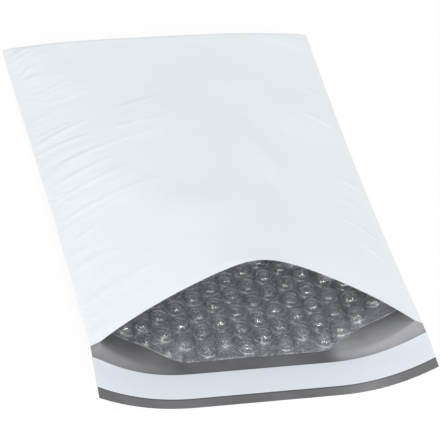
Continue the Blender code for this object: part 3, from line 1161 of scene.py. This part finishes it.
def makeLinerFilm():
    look = Look("liner_film", linerFilm["plain"])
    where = look.place()
    cloudy = look.noise(where, linerFilm["cloudScale"])
    look.set({"Base Color": look.mix(cloudy, linerFilm["colour"], linerFilm["shade"])})
    grain = look.noise(where, linerFilm["grainScale"])
    look.set({"Normal": look.bump(grain, linerFilm["reliefDepth"], linerFilm["relief"])})
    return look


hotMelt = {
    "plain": {"Roughness": 0.28, "Specular IOR Level": 0.5},
    "colour": (0.78, 0.74, 0.62, 1),
    "shade": (0.70, 0.65, 0.50, 1),
    "blotchScale": 220,
    "blotches": (0.3, 0.7),
    "reliefDepth": 0.0003,
    "relief": 0.4,
}


def makeHotMelt():
    look = Look("hot_melt", hotMelt["plain"])
    blotchy = look.noise(look.place(), hotMelt["blotchScale"], detail=3)
    blotches = look.between(*hotMelt["blotches"], blotchy)
    look.set({"Base Color": look.mix(blotches, hotMelt["colour"], hotMelt["shade"])})
    look.set({"Normal": look.bump(blotches, hotMelt["reliefDepth"], hotMelt["relief"])})
    return look


print("building the outer film")
makeOuterFilm([makeWhiteFilm(), makeGreyFilm()])

print("building the closure")
makeStrip(
    "hot_melt_strip",
    margin=closure["adhesiveMargin"],
    height=closure["gap"],
    thickness=closure["adhesiveThickness"],
    look=makeHotMelt(),
    node="adhesive_strip",
)
makeStrip(
    "peel_liner",
    margin=0,
    height=closure["gap"] * 2 + closure["adhesiveThickness"],
    thickness=closure["linerThickness"],
    look=makeLinerFilm(),
    node="release_liner",
)

print("building the bubble lining")
bubbleWeb = makeLining(makeBubbleFilm())


# Floor, light and camera
studio = {
    "floorSize": 6.0,
    "floorDrop": 0.0002,
    "floorPlain": {
        "Base Color": (0.95, 0.95, 0.95, 1),
        "Roughness": 0.9,
        "Specular IOR Level": 0.0,
    },
    "floorWhite": 0.92,  # how far the floor is white where it is seen directly
    "white": (1, 1, 1, 1),
    "worldLevel": 0.36,
    "worldTint": (0.96, 0.98, 1.0, 1),
}

# A wide lamp overhead, a low one in front for the grey lip, a weak one on each side, and three
# narrow ones for the glints on the bubbles
lamps = [
    {
        "name": "overhead",
        "at": (-0.05, 0.08, 1.5),
        "aim": (0, 0, 0),
        "size": (1.4, 1.0),
        "power": 9.0,
    },
    {
        "name": "front",
        "at": (-0.1, -1.4, 0.58),
        "aim": (0, -0.1, 0.02),
        "size": (2.0, 0.4),
        "power": 11.0,
    },
    {
        "name": "leftSide",
        "at": (-0.9, -1.2, 0.35),
        "aim": (0, -0.1, 0.02),
        "size": (0.5, 0.5),
        "power": 2.6,
    },
    {
        "name": "rightSide",
        "at": (1.2, -0.6, 0.5),
        "aim": (0, -0.1, 0.02),
        "size": (0.5, 0.5),
        "power": 0.5,
    },
    {
        "name": "stripLow",
        "at": (-0.05, -1.4, 0.6),
        "aim": (0, -0.1, 0.02),
        "size": (0.8, 0.03),
        "power": 3.6,
    },
    {
        "name": "stripMiddle",
        "at": (0.05, -1.2, 0.95),
        "aim": (0, -0.1, 0.02),
        "size": (0.7, 0.025),
        "power": 2.9,
    },
    {
        "name": "stripHigh",
        "at": (-0.05, -0.75, 1.3),
        "aim": (0, -0.1, 0.02),
        "size": (0.8, 0.03),
        "power": 2.6,
    },
]

camera = {
    "at": (-0.20571, -0.79652, 0.63963),
    "aim": (0.00259, -0.02087, 0.00522),
    "roll": 5.5,
    "lens": 159.0,
    "sensor": 36.0,
    "nearest": 0.05,
    "farthest": 20,
}


def addObject(name, data):
    made = bpy.data.objects.new(name, data)
    bpy.context.scene.collection.objects.link(made)
    return made


def makeFloor():
    look = Look("pale_floor", studio["floorPlain"])
    shown = look.node("ShaderNodeEmission", {}, {"Color": studio["white"]})
    factor = look.seenDirectly() * studio["floorWhite"]
    lit = Value(look, look.shader.outputs[0])
    look.feed(look.output.inputs["Surface"], look.mixShaders(factor, lit, shown))
    half = studio["floorSize"] / 2
    corners = [(-half, -half), (half, -half), (half, half), (-half, half)]
    data = bpy.data.meshes.new("floor")
    data.from_pydata([(x, y, -studio["floorDrop"]) for x, y in corners], [], [(0, 1, 2, 3)])
    data.materials.append(look.material)
    addObject("floor", data)


def makeWorld():
    world = bpy.data.worlds.new("studio")
    bpy.context.scene.world = world
    world.use_nodes = True
    nodes = Nodes(world.node_tree)
    background = nodes.tree.nodes["Background"]
    nodes.feed(background.inputs["Color"], studio["worldTint"])
    nodes.feed(background.inputs["Strength"], studio["worldLevel"])
    light = Value(nodes, background.outputs[0])
    shown = nodes.node("ShaderNodeBackground", {}, {"Color": studio["white"]})
    surface = nodes.tree.nodes["World Output"].inputs["Surface"]
    nodes.feed(surface, nodes.mixShaders(nodes.seenDirectly(), light, shown))


def makeLamp(lamp):
    data = bpy.data.lights.new(lamp["name"], "AREA")
    data.shape = "RECTANGLE"
    data.size, data.size_y = lamp["size"]
    data.energy = lamp["power"]
    made = addObject(lamp["name"], data)
    made.location = lamp["at"]
    facing = Vector(lamp["aim"]) - Vector(lamp["at"])
    made.rotation_euler = facing.to_track_quat("-Z", "Y").to_euler()


def makeCamera():
    data = bpy.data.cameras.new("camera")
    data.lens, data.sensor_width = camera["lens"], camera["sensor"]
    data.clip_start, data.clip_end = camera["nearest"], camera["farthest"]
    made = addObject("camera", data)
    at = Vector(camera["at"])
    facing = (Vector(camera["aim"]) - at).to_track_quat("-Z", "Y").to_matrix()
    turned = facing @ Matrix.Rotation(math.radians(camera["roll"]), 3, "Z")
    made.matrix_world = Matrix.Translation(at) @ turned.to_4x4()
    bpy.context.scene.camera = made


print("setting the floor, light and camera")
makeFloor()
makeWorld()
for lamp in lamps:
    makeLamp(lamp)
makeCamera()
bpy.context.scene.view_settings.view_transform = "Standard"
